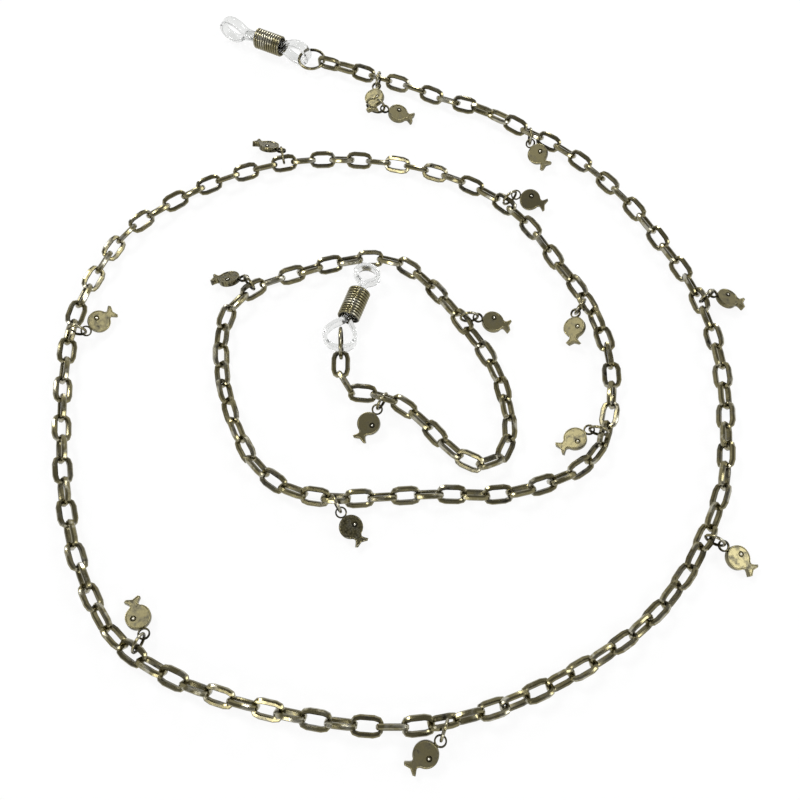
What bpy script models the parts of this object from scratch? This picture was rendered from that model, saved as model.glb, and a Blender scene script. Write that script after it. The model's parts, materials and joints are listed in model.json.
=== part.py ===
"""Eyeglasses chain strap laid out in a loose spiral, in metres, +Z up, resting on z = 0.

A cable chain of flattened oval links carries small fish charms on jump rings. Each end has
a ring, a clear silicone temple loop and a coil spring that slides along the loop.
The links of one chain run are joined where they cross; the runs hinge on one another.
"""

import math

import bmesh
import bpy
from mathutils import Matrix, Vector

MM = 0.001
UP = Vector((0.0, 0.0, 1.0))

# Chain links
LINK_LENGTH = 5.0 * MM
LINK_WIDTH = 3.3 * MM
LINK_NOSE = 2.1 * MM  # straight end of a link, across the chain
WIRE_FLAT = 0.6 * MM  # wire thickness in the link's own plane
WIRE_DEEP = 0.8 * MM  # wire thickness across that plane
FUSE = 0.09 * MM  # overlap where two links of one run cross
PLAY = 0.3 * MM  # gap where two runs, or a run and an end ring, meet
REST_LINK = 54  # this link stands upright on a flat of its side bar
REST_FLAT = 1.0 * MM

# Jump rings and fish charms
JUMP_RADIUS = 1.55 * MM  # to the middle of the wire
JUMP_WIRE = 0.5 * MM
JUMP_HANG = 0.45 * MM  # how far the ring's centre hangs out from the bar it goes round
JUMP_DROP = 0.2 * MM
JUMP_FLOOR_GAP = 0.08 * MM
FISH_BODY_RADIUS = 2.0 * MM
FISH_THICKNESS = 1.0 * MM
FISH_LOOP_RADIUS = 0.85 * MM  # to the middle of the loop's wire
FISH_LOOP_WIRE = 0.45 * MM
FISH_NOSE = 0.9 * MM  # from the loop's centre to the flat of the nose
FISH_LENGTH = 5.4 * MM  # nose to tail tips
FISH_TAIL_SPREAD = 2.6 * MM
FISH_NECK = 0.25 * MM  # from the body's edge to the narrowest place
FISH_NECK_HALF_WIDTH = 0.5 * MM
FISH_NOSE_HALF_WIDTH = 0.35 * MM
FISH_TAIL_BLUNT = 0.35 * MM  # how much of each tail tip is cut off square
FISH_TAIL_SLANT = 0.25 * MM
FISH_TAIL_NOTCH = 0.6 * MM
FISH_LOOP_SLACK = 0.1 * MM
EYE_RADIUS = 0.34 * MM
EYE_HEIGHT = 0.14 * MM
EYE_OFFSET = 0.75 * MM  # from the fish's middle line
EYE_SIDES = 6

# End rings, silicone loops and coil springs
END_RADIUS = 2.7 * MM
END_WIRE = 0.6 * MM
BAND_THICK = 0.7 * MM
BAND_TALL = 2.1 * MM
BAND_GAP = 0.3 * MM  # between the two strands inside the coil
TEMPLE_HALF_WIDTH = 2.2 * MM
LOOP_FLOOR_GAP = 0.05 * MM
COIL_OUTER = 4.2 * MM  # across the coil
COIL_WIRE = 0.45 * MM
COIL_LENGTH = 6.5 * MM
COIL_TURNS = 8
COIL_STEPS = 10  # flats in one turn
SMOOTH_UNDER = 62.0  # degrees between faces that shade as one round surface

# Each end: way the silicone loop runs, its reach back from the rim of the end ring, where
# its coil starts, half the bulge there, the coil's travel, length of the temple eye (mm)
ENDS = {
    "outer": (Vector((-0.906, 0.424, 0.0)), 2.1, 3.9, 2.2, 2.4, 5.8),
    "inner": (Vector((0.338, 0.941, 0.0)), 3.1, 3.1, 2.8, 1.5, 3.8),
}

# Bulb of a silicone loop round its end ring: share of the way to the coil, share of the bulge
BULB = ((0.06, 0.55), (0.2, 0.9), (0.4, 1.0), (0.66, 0.78))
BULB_END = (0.86, 0.25)
# Temple eye: share of its length, share of its half width
TEMPLE_EYE = ((0.25, 0.72), (0.5, 1.0), (0.78, 0.85), (0.95, 0.45))
BAND_SETTLE = 0.1 * MM  # the strands lie side by side this far before the coil

# Middle of the layout, which sits over the origin
LAYOUT_CENTRE = Vector((2.977 * MM, 2.279 * MM, 0.0))

# The way the chain lies, from the outer end to the inner end, in millimetres
ROUTE = (
    (-15.1, 66.9), (-13.3, 66.4), (-4.3, 63.0), (4.0, 59.8), (11.9, 56.0), (18.3, 53.8),
    (26.6, 48.8), (34.5, 43.5), (41.8, 36.2), (47.3, 29.0), (52.2, 20.0), (56.2, 11.4),
    (58.6, 1.5), (59.2, -8.1), (58.2, -17.5), (56.3, -27.5), (52.3, -36.0), (47.0, -44.0),
    (40.0, -51.0), (31.5, -56.6), (22.5, -61.0), (13.3, -64.2), (3.0, -66.0), (-6.9, -65.6),
    (-16.5, -64.0), (-26.1, -61.6), (-35.0, -58.2), (-43.3, -52.7), (-49.0, -44.2),
    (-52.8, -35.5), (-55.6, -25.5), (-57.3, -15.6), (-58.4, -5.5), (-58.2, 4.8),
    (-55.6, 13.6), (-51.1, 23.0), (-46.0, 28.0), (-37.2, 34.0), (-27.0, 38.4),
    (-17.3, 40.6), (-8.0, 40.7), (2.7, 39.2), (12.0, 36.2), (20.4, 31.4), (26.8, 24.5),
    (31.6, 16.0), (36.2, 8.0), (39.2, -2.7), (38.9, -12.0), (35.8, -21.6), (31.9, -25.2),
    (24.7, -28.2), (18.2, -29.6), (8.0, -29.5), (-1.0, -30.0), (-9.0, -30.3),
    (-17.0, -28.8), (-23.2, -24.0), (-28.0, -14.5), (-30.5, -4.5), (-30.1, 5.4),
    (-25.3, 10.8), (-18.0, 13.8), (-10.0, 16.4), (-3.0, 17.3), (2.8, 15.6), (8.0, 10.5),
    (14.4, 1.5), (18.6, -6.0), (20.7, -16.0), (20.3, -20.8), (17.8, -23.9), (14.2, -24.2),
    (9.7, -20.8), (5.6, -16.2), (1.8, -13.0), (-2.0, -11.3), (-5.8, -11.4), (-8.6, -9.6),
    (-8.8, -6.0),
)
ROUTE_STEPS = 24

# Links in each chain run, outer end first
RUNS = (8, 9, 8, 8, 9, 7, 9, 10, 9, 8, 6, 8, 9, 9, 8, 10, 8, 8, 7, 7, 7, 6)

# Twist of the chain about its own length: (link, degrees), straight between
TWIST = (
    (1, 135), (3, 90), (9, 90), (12, 0), (40, 0), (51, -20), (54, 45), (57, 22), (65, 20),
    (68, -8), (112, 0), (118, 50), (124, 100), (140, 100), (150, 90), (175, 95), (178, 135),
)
TWIST_WANDER = 6.0
# Extra height of the chain near the inner end ring, in millimetres
LIFT = ((1, 0.0), (174, 0.0), (178, 0.95))

# Charms: link, side of the chain (1 left, -1 right, seen along the route), turn of the
# ring, turn of the fish on the ring, lean of the fish (degrees), rise of the tail (mm)
CHARMS = (
    (4, -1, 7, 6, 15, 1.15),
    (13, -1, 30, 30, 30, 0.9),
    (26, 1, 20, -50, 0, 0.3),
    (38, 1, 0, -10, 0, 0.1),
    (52, 1, -30, -30, 0, 0.2),
    (65, -1, 10, 50, 0, 0.23),
    (81, -1, 0, 50, 25, 0.7),
    (96, 1, 0, 50, 20, 0.6),
    (108, 1, -10, -58, 35, 1.0),
    (115, -1, 30, 30, 30, 0.8),
    (122, -1, 5, 46, 0, 0.28),
    (135, 1, 33, 6, 0, 0.1),
    (149, 1, 5, 45, 15, 0.5),
    (161, 1, -31, -14, 0, 0.1),
    (175, 1, -15, 0, 0, 0.1),
)
# A second fish hangs by its ring round the tail of the first one
TRAILING_RING_TURN = 82.0
TRAILING_RADIUS = 1.9 * MM
TRAILING_HANG = 0.55 * MM


def between(stations, at):
    """Value at one link, on straight lines between the stations."""
    for (a, low), (b, high) in zip(stations, stations[1:]):
        if at <= b:
            return low + (high - low) * max(0.0, (at - a) / (b - a))
    return stations[-1][1]


def turned(vector, degrees, axis):
    return Matrix.Rotation(math.radians(degrees), 3, axis) @ vector


def spline_point(a, b, c, d, t):
    """Centripetal curve through four points, between the middle two."""
    ta = 0.0
    tb = ta + (b - a).length ** 0.5
    tc = tb + (c - b).length ** 0.5
    td = tc + (d - c).length ** 0.5
    at = tb + (tc - tb) * t
    ab = a * ((tb - at) / (tb - ta)) + b * ((at - ta) / (tb - ta))
    bc = b * ((tc - at) / (tc - tb)) + c * ((at - tb) / (tc - tb))
    cd = c * ((td - at) / (td - tc)) + d * ((at - tc) / (td - tc))
    abc = ab * ((tc - at) / (tc - ta)) + bc * ((at - ta) / (tc - ta))
    bcd = bc * ((td - at) / (td - tb)) + cd * ((at - tb) / (td - tb))
    return abc * ((tc - at) / (tc - tb)) + bcd * ((at - tb) / (tc - tb))


def route_line():
    """The route as a fine line of flat points."""
    points = [Vector((x, y, 0.0)) * MM for x, y in ROUTE]
    points = [2 * points[0] - points[1], *points, 2 * points[-1] - points[-2]]
    line = []
    for a, b, c, d in zip(points, points[1:], points[2:], points[3:]):
        line += [spline_point(a, b, c, d, i / ROUTE_STEPS) for i in range(ROUTE_STEPS)]
    line += [points[-2], points[-1]]
    return line


def link_roll(number):
    """Roll of one link about the chain, in degrees."""
    wander = TWIST_WANDER * math.sin(2.4 * (number - REST_LINK))
    if number in (1, sum(RUNS)):
        wander = 0.0
    return between(TWIST, number) + (-45.0 if number % 2 else 45.0) + wander


def rest_height(number):
    """Height of a link's middle when its lowest corner touches the ground."""
    roll = math.radians(link_roll(number))
    return LINK_WIDTH / 2 * abs(math.sin(roll)) + WIRE_DEEP / 2 * abs(math.cos(roll))


class Link:
    """Where one link lies: middle, direction along the chain, width and plane normal."""

    def __init__(self, number, start, end, reach):
        self.number = number
        self.along = (end - start).normalized()
        self.middle = start + self.along * reach
        self.left = UP.cross(self.along).normalized()
        up = self.along.cross(self.left)
        roll = math.radians(link_roll(number))
        self.width = self.left * math.cos(roll) + up * math.sin(roll)
        self.normal = self.along.cross(self.width)


def lay_links():
    """All the links, the joint points between them, and the number of each run's last link."""
    count = sum(RUNS)
    lasts = [sum(RUNS[: i + 1]) for i in range(len(RUNS))]
    line = route_line()
    fused = LINK_LENGTH / 2 - WIRE_FLAT + FUSE / 2
    free = LINK_LENGTH / 2 - WIRE_FLAT - PLAY / 2
    needs = [rest_height(n) for n in range(1, count + 1)]
    flats = [line[0]]
    index = 1
    for number in range(1, count + 1):
        before = free if number == 1 or number - 1 in lasts else fused
        after = free if number in lasts else fused
        reach = before + after
        while (line[index] - flats[-1]).length < reach:
            if index + 1 == len(line):
                line.append(2 * line[-1] - line[-2])
            index += 1
        near = (line[index - 1] - flats[-1]).length
        far = (line[index] - flats[-1]).length
        step = (reach - near) / (far - near)
        flats.append(line[index - 1].lerp(line[index], max(0.0, step)))
    joints = []
    for i, flat in enumerate(flats):
        near = range(max(1, i - 1), min(count, i + 2) + 1)
        if i in (REST_LINK - 1, REST_LINK):
            near = [REST_LINK]
        height = max(needs[n - 1] for n in near) + between(LIFT, i) * MM
        joints.append(flat + UP * height - LAYOUT_CENTRE)
    links = []
    for number in range(1, count + 1):
        before = free if number == 1 or number - 1 in lasts else fused
        links.append(Link(number, joints[number - 1], joints[number], before))
    return links, joints, lasts


def inset(outline, depth):
    """The same outline moved inwards, its corners mitred. The outline runs anticlockwise."""
    moved = []
    for before, here, after in zip(outline[-1:] + outline[:-1], outline, outline[1:] + outline[:1]):
        first = (here - before).normalized()
        second = (after - here).normalized()
        inward = Vector((-first.y, first.x)) + Vector((-second.y, second.x))
        inward.normalize()
        moved.append(here + inward * (depth / inward.dot(Vector((-first.y, first.x)))))
    return moved


def link_outline(flat):
    """Outer outline of a link: x along it, y across it."""
    end, nose, side = LINK_LENGTH / 2, LINK_NOSE / 2, LINK_WIDTH / 2
    if flat:
        half = flat / 2
        tops = [(half, side), (-half, side)]
        feet = [(-half, -side), (half, -side)]
    else:
        tops, feet = [(0.0, side)], [(0.0, -side)]
    points = [(end, -nose), (end, nose), *tops, (-end, nose), (-end, -nose), *feet]
    return [Vector(p) for p in points]


def add_link(bm, link, origin):
    """Adds one link to a mesh."""
    outer = link_outline(REST_FLAT if link.number == REST_LINK else 0.0)
    inner = inset(outer, WIRE_FLAT)
    half = link.normal * (WIRE_DEEP / 2)
    rings = []
    for outline, lift in ((outer, half), (inner, half), (inner, -half), (outer, -half)):
        ring = []
        for p in outline:
            place = link.middle + link.along * p.x + link.width * p.y + lift
            ring.append(bm.verts.new(place - origin))
        rings.append(ring)
    join_rings(bm, list(zip(*rings)), True)


def join_rings(bm, sections, closed):
    """Faces between neighbouring sections, and caps on an open tube."""
    pairs = list(zip(sections, sections[1:]))
    if closed:
        pairs.append((sections[-1], sections[0]))
    else:
        bm.faces.new(sections[0])
        bm.faces.new(tuple(reversed(sections[-1])))
    for one, two in pairs:
        for i in range(len(one)):
            j = (i + 1) % len(one)
            bm.faces.new((one[i], two[i], two[j], one[j]))


def mesh_from(bm, name):
    bmesh.ops.recalc_face_normals(bm, faces=bm.faces)
    mesh = bpy.data.meshes.new(name)
    bm.to_mesh(mesh)
    bm.free()
    return mesh


def rounded(mesh):
    """Shades a round piece smooth, its corners left sharp."""
    mesh.shade_smooth()
    mesh.set_sharp_from_angle(angle=math.radians(SMOOTH_UNDER))
    return mesh


def material(name, colour, metallic, roughness, alpha=1.0):
    made = bpy.data.materials.new(name)
    made.use_nodes = True
    shader = made.node_tree.nodes["Principled BSDF"]
    shader.inputs["Base Color"].default_value = (*colour, 1.0)
    shader.inputs["Metallic"].default_value = metallic
    shader.inputs["Roughness"].default_value = roughness
    shader.inputs["Alpha"].default_value = alpha
    return made


def put(name, mesh, place, rotation, paint):
    """Adds a named object with its origin at the given place."""
    obj = bpy.data.objects.new(name, mesh)
    bpy.context.scene.collection.objects.link(obj)
    obj.location = place
    obj.rotation_mode = "QUATERNION"
    obj.rotation_quaternion = rotation.to_quaternion()
    if not mesh.materials:
        mesh.materials.append(paint)
    return obj


def axes(x, z):
    """Rotation whose X and Z axes are these two directions."""
    x = x.normalized()
    y = z.cross(x).normalized()
    z = x.cross(y)
    return Matrix((x, y, z)).transposed()


def joined(name, first, second):
    """One closed mesh from two overlapping ones."""
    keep = bpy.data.objects.new(name, first)
    helper = bpy.data.objects.new(name + "_helper", second)
    for obj in (keep, helper):
        bpy.context.scene.collection.objects.link(obj)
    union = keep.modifiers.new("join", "BOOLEAN")
    union.operation = "UNION"
    union.solver = "EXACT"
    union.object = helper
    bpy.context.view_layer.update()
    seen = keep.evaluated_get(bpy.context.evaluated_depsgraph_get())
    mesh = bpy.data.meshes.new_from_object(seen)
    mesh.name = name
    for obj in (keep, helper):
        bpy.data.objects.remove(obj)
    return mesh


def run_mesh(name, links, origin):
    """The links of one run, odd ones and even ones joined where they cross."""
    halves = []
    for odd in (1, 0):
        bm = bmesh.new()
        for link in links:
            if link.number % 2 == odd:
                add_link(bm, link, origin)
        halves.append(mesh_from(bm, f"{name}_{odd}"))
    return joined(name, *halves)


def ring_mesh(name, radius, wire, steps, sides):
    """A closed wire ring round the Y axis, centred on the origin."""
    bm = bmesh.new()
    sections = []
    for i in range(steps):
        turn = math.tau * i / steps
        out = Vector((math.cos(turn), 0.0, math.sin(turn)))
        section = []
        for j in range(sides):
            side = math.tau * (j + 0.5) / sides
            spot = out * (radius + wire / 2 * math.cos(side)) + Vector((0, wire / 2 * math.sin(side), 0))
            section.append(bm.verts.new(spot))
        sections.append(section)
    join_rings(bm, sections, True)
    return rounded(mesh_from(bm, name))


def fish_outline():
    """Edge of the fish seen from above: x from the loop's centre towards the tail."""
    middle = FISH_NOSE + FISH_BODY_RADIUS
    tip = FISH_NOSE + FISH_LENGTH
    upper = [Vector((FISH_NOSE, FISH_NOSE_HALF_WIDTH))]
    for degrees in (135, 105, 75, 48, 25):
        turn = math.radians(degrees)
        round_body = Vector((math.cos(turn), math.sin(turn))) * FISH_BODY_RADIUS
        upper.append(Vector((middle, 0.0)) + round_body)
    neck = middle + FISH_BODY_RADIUS + FISH_NECK
    upper.append(Vector((neck, FISH_NECK_HALF_WIDTH)))
    upper.append(Vector((tip - FISH_TAIL_SLANT, FISH_TAIL_SPREAD / 2)))
    upper.append(Vector((tip, FISH_TAIL_SPREAD / 2 - FISH_TAIL_BLUNT)))
    lower = [Vector((p.x, -p.y)) for p in reversed(upper)]
    return upper + [Vector((tip - FISH_TAIL_NOTCH, 0.0))] + lower


def plate(bm, outline, low, high):
    """A flat plate between two heights."""
    bottom = [bm.verts.new((p.x, p.y, low)) for p in outline]
    top = [bm.verts.new((p.x, p.y, high)) for p in outline]
    bm.faces.new(bottom)
    bm.faces.new(tuple(reversed(top)))
    for i in range(len(outline)):
        j = (i + 1) % len(outline)
        bm.faces.new((bottom[i], top[i], top[j], bottom[j]))


def fish_mesh():
    """Round fish with a V tail, a raised eye on each face and a loop at the nose."""
    bm = bmesh.new()
    plate(bm, fish_outline(), -FISH_THICKNESS / 2, FISH_THICKNESS / 2)
    body = mesh_from(bm, "fish_body")
    bm = bmesh.new()
    middle = Vector((FISH_NOSE + FISH_BODY_RADIUS, EYE_OFFSET))
    turns = [math.tau * i / EYE_SIDES for i in range(EYE_SIDES)]
    eye = [middle + EYE_RADIUS * Vector((math.cos(turn), math.sin(turn))) for turn in turns]
    reach = FISH_THICKNESS / 2 + EYE_HEIGHT
    plate(bm, eye, -reach, reach)
    sections = []
    for i in range(8):
        turn = math.tau * (i + 0.5) / 8
        out = Vector((math.cos(turn), math.sin(turn), 0.0))
        section = []
        for j in range(4):
            side = math.tau * (j + 0.5) / 4
            across = FISH_LOOP_RADIUS + FISH_LOOP_WIRE / 2 * math.cos(side)
            section.append(bm.verts.new(out * across + UP * (FISH_LOOP_WIRE / 2 * math.sin(side))))
        sections.append(section)
    join_rings(bm, sections, True)
    return joined("fish", body, mesh_from(bm, "fish_loop"))


def high_bar(link, side):
    """Middle of the side bar that stands higher, which must be on the asked side."""
    sign = 1.0 if link.width.z > 0 else -1.0
    if sign * link.width.dot(link.left) * side <= 0:
        raise ValueError(f"link {link.number}: its high bar is on the other side")
    return link.middle + link.width * (sign * (LINK_WIDTH - WIRE_FLAT) / 2)


def hang_charm(bar, out, radius, hang, fish_turn, lean, rise):
    """Ring centre and rotation, then the fish's hinge point, origin and rotation."""
    centre = bar + out * hang - UP * JUMP_DROP
    centre.z = max(centre.z, radius + JUMP_WIRE / 2 + JUMP_FLOOR_GAP)
    reach = radius + (FISH_NOSE + FISH_LENGTH) * math.cos(math.radians(fish_turn))
    slope = math.asin((centre.z - FISH_THICKNESS / 2 - rise * MM) / reach)
    down = out * math.cos(slope) - UP * math.sin(slope)
    tangent = out * math.sin(slope) + UP * math.cos(slope)
    pivot = centre + down * radius
    heading = turned(down, fish_turn, tangent)
    face = turned(tangent, lean, heading)
    return centre, axes(out, UP), pivot, pivot + heading * FISH_LOOP_SLACK, axes(heading, face)


def shifted(mesh, offset):
    """A copy of the mesh moved, so that its object's origin can be a hinge point."""
    copy = mesh.copy()
    copy.transform(Matrix.Translation(offset))
    return copy


def coil_mesh():
    """Coil spring along X from the origin, with its wire's ends cut square."""
    bm = bmesh.new()
    radius = (COIL_OUTER - COIL_WIRE) / 2
    count = COIL_TURNS * COIL_STEPS
    sections = []
    for i in range(count + 1):
        turn = math.tau * i / COIL_STEPS
        out = Vector((0.0, math.cos(turn), math.sin(turn)))
        x = COIL_WIRE / 2 + (COIL_LENGTH - COIL_WIRE) * i / count
        section = []
        for j in range(4):
            side = math.tau * (j + 0.5) / 4
            spot = out * (radius + COIL_WIRE * 0.5 * math.cos(side))
            spot.x = x + COIL_WIRE * 0.5 * math.sin(side)
            section.append(bm.verts.new(spot))
        sections.append(section)
    join_rings(bm, sections, False)
    return rounded(mesh_from(bm, "coil"))


def band_line(back, coil_start, bulge, travel, temple):
    """Middle line of a silicone loop: x from the ring's rim towards the temple."""
    strand = (BAND_GAP + BAND_THICK) / 2
    neck_end = coil_start + COIL_LENGTH + travel
    span = back + coil_start
    half = [(-back, 0.0)]
    for along, wide in BULB:
        half.append((-back + along * span, bulge * wide))
    along, wide = BULB_END
    half.append((-back + along * span, strand + (bulge - strand) * wide))
    half += [(coil_start - BAND_SETTLE, strand), (neck_end, strand)]
    for along, wide in TEMPLE_EYE:
        half.append((neck_end + temple * along, TEMPLE_HALF_WIDTH * wide))
    half.append((neck_end + temple, 0.0))
    return [Vector(p) for p in half] + [Vector((x, -y)) for x, y in reversed(half[1:-1])]


def band_mesh(name, sizes):
    """Silicone loop in its own XY plane, its flat strip standing along Z."""
    middle = band_line(*(size * MM for size in sizes))
    middle.reverse()
    outer = inset(middle, -BAND_THICK / 2)
    inner = inset(middle, BAND_THICK / 2)
    bm = bmesh.new()
    sections = []
    for a, b in zip(outer, inner):
        corners = ((a, 1), (b, 1), (b, -1), (a, -1))
        sections.append([bm.verts.new((p.x, p.y, s * BAND_TALL / 2)) for p, s in corners])
    join_rings(bm, sections, True)
    return rounded(mesh_from(bm, name))


def place_charms(links):
    """Bar point, swing axis and hang_charm placement of every charm, the trailing one last."""
    placed = []
    for at, side, ring_turn, fish_turn, lean, rise in CHARMS:
        link = links[at - 1]
        out = turned(link.left * side, ring_turn, "Z")
        out.z = 0.0
        out.normalize()
        bar = high_bar(link, side)
        hang = hang_charm(bar, out, JUMP_RADIUS, JUMP_HANG, fish_turn, lean, rise)
        placed.append((bar, link.along, *hang))
    nose, pose = placed[0][5:]
    heading = pose.col[0]
    neck = nose + heading * (FISH_NOSE + 2 * FISH_BODY_RADIUS + FISH_NECK)
    out = turned(Vector((heading.x, heading.y, 0.0)).normalized(), TRAILING_RING_TURN, "Z")
    hang = hang_charm(neck, out, TRAILING_RADIUS, TRAILING_HANG, 0.0, 0.0, 0.1)
    placed.append((neck, heading, *hang))
    return placed


def place_end(name, links, joints):
    """Ring's hinge point, centre and rotation, then the loop's place on its rim and rotation."""
    outer = name == "outer"
    joint = joints[0] if outer else joints[-1]
    away = -links[0].along if outer else links[-1].along
    away = Vector((away.x, away.y, 0.0)).normalized()
    course = ENDS[name][0].normalized()
    if outer:
        # This ring lies flat, and its loop stands on edge
        height = TEMPLE_HALF_WIDTH + BAND_THICK / 2 + LOOP_FLOOR_GAP
        centre = joint + away * (END_RADIUS - END_WIRE / 2 - PLAY / 2)
        rim = centre + away * END_RADIUS
        ring = axes(away, away.cross(UP))
        frame = axes(course, UP.cross(course))
    else:
        # This ring stands upright on the ground, and its loop lies level
        height = COIL_OUTER / 2
        sink = END_RADIUS + END_WIRE / 2 - joint.z
        near = math.sqrt(END_RADIUS**2 - sink**2)
        centre = joint + away * (near - END_WIRE / 2 * END_RADIUS / near - PLAY / 2)
        centre.z = END_RADIUS + END_WIRE / 2
        rim = centre + away * math.sqrt(END_RADIUS**2 - (centre.z - height) ** 2)
        ring = axes(away, UP)
        frame = axes(course, UP)
    return joint, centre, ring, Vector((rim.x, rim.y, height)), frame


def build():
    for obj in list(bpy.data.objects):
        bpy.data.objects.remove(obj)
    chain_metal = material("chain_metal", (0.16, 0.135, 0.07), 1.0, 0.35)
    charm_metal = material("charm_metal", (0.18, 0.155, 0.085), 1.0, 0.4)
    ring_metal = material("ring_metal", (0.2, 0.17, 0.09), 1.0, 0.3)
    spring_metal = material("spring_metal", (0.15, 0.13, 0.075), 1.0, 0.32)
    silicone = material("clear_silicone", (0.86, 0.88, 0.86), 0.0, 0.2, 0.35)

    links, joints, lasts = lay_links()
    flat = Matrix.Identity(3)
    firsts = [1] + [last + 1 for last in lasts[:-1]]
    for number, (first, last) in enumerate(zip(firsts, lasts), 1):
        home = joints[first - 1] if first > REST_LINK else joints[last]
        mesh = run_mesh(f"chain_run_{number:02d}", links[first - 1 : last], home)
        put(f"chain_run_{number:02d}", mesh, home, flat, chain_metal)

    jump = ring_mesh("jump_ring", JUMP_RADIUS, JUMP_WIRE, 10, 4)
    large_jump = ring_mesh("large_jump_ring", TRAILING_RADIUS, JUMP_WIRE, 10, 4)
    fish = fish_mesh()
    for number, (bar, _, centre, ring, pivot, nose, pose) in enumerate(place_charms(links), 1):
        shape = large_jump if number > len(CHARMS) else jump
        mesh = shifted(shape, ring.transposed() @ (centre - bar))
        put(f"jump_ring_{number:02d}", mesh, bar, ring, ring_metal)
        mesh = shifted(fish, pose.transposed() @ (nose - pivot))
        put(f"fish_{number:02d}", mesh, pivot, pose, charm_metal)

    for name, (course, *sizes) in ENDS.items():
        joint, centre, ring, place, frame = place_end(name, links, joints)
        mesh = ring_mesh("end_ring", END_RADIUS, END_WIRE, 12, 6)
        mesh.transform(Matrix.Translation(ring.transposed() @ (centre - joint)))
        put(f"end_ring_{name}", mesh, joint, ring, ring_metal)
        put(f"temple_loop_{name}", band_mesh("band", sizes), place, frame, silicone)
        start = place + course.normalized() * (sizes[1] * MM)
        put(f"coil_spring_{name}", coil_mesh(), start, frame, spring_metal)


build()
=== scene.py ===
"""Eyeglasses chain strap with fish charms: detailed links, rings, charms, coils and clear loops.

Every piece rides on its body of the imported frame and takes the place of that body's solid.
"""

import json
import math

import bpy
from mathutils import Matrix, Vector

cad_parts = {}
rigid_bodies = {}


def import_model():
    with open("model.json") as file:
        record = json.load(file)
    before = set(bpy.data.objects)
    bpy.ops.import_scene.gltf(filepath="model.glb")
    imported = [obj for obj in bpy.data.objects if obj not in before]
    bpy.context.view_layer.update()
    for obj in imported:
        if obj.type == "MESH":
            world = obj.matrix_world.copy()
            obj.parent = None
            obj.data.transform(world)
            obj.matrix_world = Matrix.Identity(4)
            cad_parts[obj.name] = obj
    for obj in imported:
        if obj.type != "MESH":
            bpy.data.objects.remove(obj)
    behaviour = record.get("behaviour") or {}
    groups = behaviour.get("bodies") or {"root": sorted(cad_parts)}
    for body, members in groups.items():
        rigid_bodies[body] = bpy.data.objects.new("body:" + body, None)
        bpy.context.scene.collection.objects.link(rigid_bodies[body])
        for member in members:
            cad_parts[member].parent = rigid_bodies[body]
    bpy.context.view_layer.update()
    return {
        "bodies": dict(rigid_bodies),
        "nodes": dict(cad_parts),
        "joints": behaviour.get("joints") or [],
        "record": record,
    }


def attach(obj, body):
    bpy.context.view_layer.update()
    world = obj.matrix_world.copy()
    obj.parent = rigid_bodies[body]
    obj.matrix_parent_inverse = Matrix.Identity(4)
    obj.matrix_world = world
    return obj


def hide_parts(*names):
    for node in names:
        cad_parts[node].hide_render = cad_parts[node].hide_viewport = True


bl_info = {
    "name": "Eyeglasses Chain Strap",
    "version": (1, 0, 0),
    "blender": (4, 5, 0),
    "location": "View3D > Sidebar > Chain Strap",
    "description": "Models a cable chain strap with fish charms and its studio stage",
    "category": "Object",
}

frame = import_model()

MM = 0.001
UP = Vector((0.0, 0.0, 1.0))

# Chain links
LINK_LENGTH = 5.0 * MM
LINK_WIDTH = 3.3 * MM
WIRE_FLAT = 0.6 * MM  # wire thickness in the link's own plane
WIRE_DEEP = 0.8 * MM  # wire thickness across that plane
FUSE = 0.09 * MM  # overlap where two links of one run cross
PLAY = 0.3 * MM  # gap where two runs, or a run and an end ring, meet
REST_LINK = 54  # this link stands upright on a flat of its side bar

# Jump rings and fish charms
JUMP_RADIUS = 1.55 * MM  # to the middle of the wire
JUMP_WIRE = 0.5 * MM
JUMP_HANG = 0.45 * MM  # how far the ring's centre hangs out from the bar it goes round
JUMP_DROP = 0.2 * MM
JUMP_FLOOR_GAP = 0.08 * MM
FISH_BODY_RADIUS = 2.0 * MM
FISH_THICKNESS = 1.0 * MM
FISH_LOOP_RADIUS = 0.85 * MM  # to the middle of the loop's wire
FISH_LOOP_WIRE = 0.45 * MM
FISH_NOSE = 0.9 * MM  # from the loop's centre to the flat of the nose
FISH_LENGTH = 5.4 * MM  # nose to tail tips
FISH_TAIL_SPREAD = 2.6 * MM
FISH_NECK = 0.25 * MM  # from the body's edge to the narrowest place
FISH_NECK_HALF_WIDTH = 0.5 * MM
FISH_NOSE_HALF_WIDTH = 0.35 * MM
FISH_TAIL_BLUNT = 0.35 * MM  # how much of each tail tip is cut off square
FISH_TAIL_SLANT = 0.25 * MM
FISH_TAIL_NOTCH = 0.6 * MM
FISH_LOOP_SLACK = 0.1 * MM
EYE_RADIUS = 0.34 * MM
EYE_OFFSET = 0.75 * MM  # from the fish's middle line

# End rings, silicone loops and coil springs
END_RADIUS = 2.7 * MM
END_WIRE = 0.6 * MM
BAND_THICK = 0.7 * MM
BAND_TALL = 2.1 * MM
BAND_GAP = 0.3 * MM  # between the two strands inside the coil
TEMPLE_HALF_WIDTH = 2.2 * MM
LOOP_FLOOR_GAP = 0.05 * MM
COIL_OUTER = 4.2 * MM  # across the coil
COIL_LENGTH = 6.5 * MM

# Each end: way the silicone loop runs, its reach back from the rim of the end ring, where
# its coil starts, half the bulge there, the coil's travel, length of the temple eye (mm)
ENDS = {
    "outer": (Vector((-0.906, 0.424, 0.0)), 2.1, 3.9, 2.2, 2.4, 5.8),
    "inner": (Vector((0.338, 0.941, 0.0)), 3.1, 3.1, 2.8, 1.5, 3.8),
}

# Bulb of a silicone loop round its end ring: share of the way to the coil, share of the bulge
BULB = ((0.06, 0.55), (0.2, 0.9), (0.4, 1.0), (0.66, 0.78))
BULB_END = (0.86, 0.25)
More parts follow.
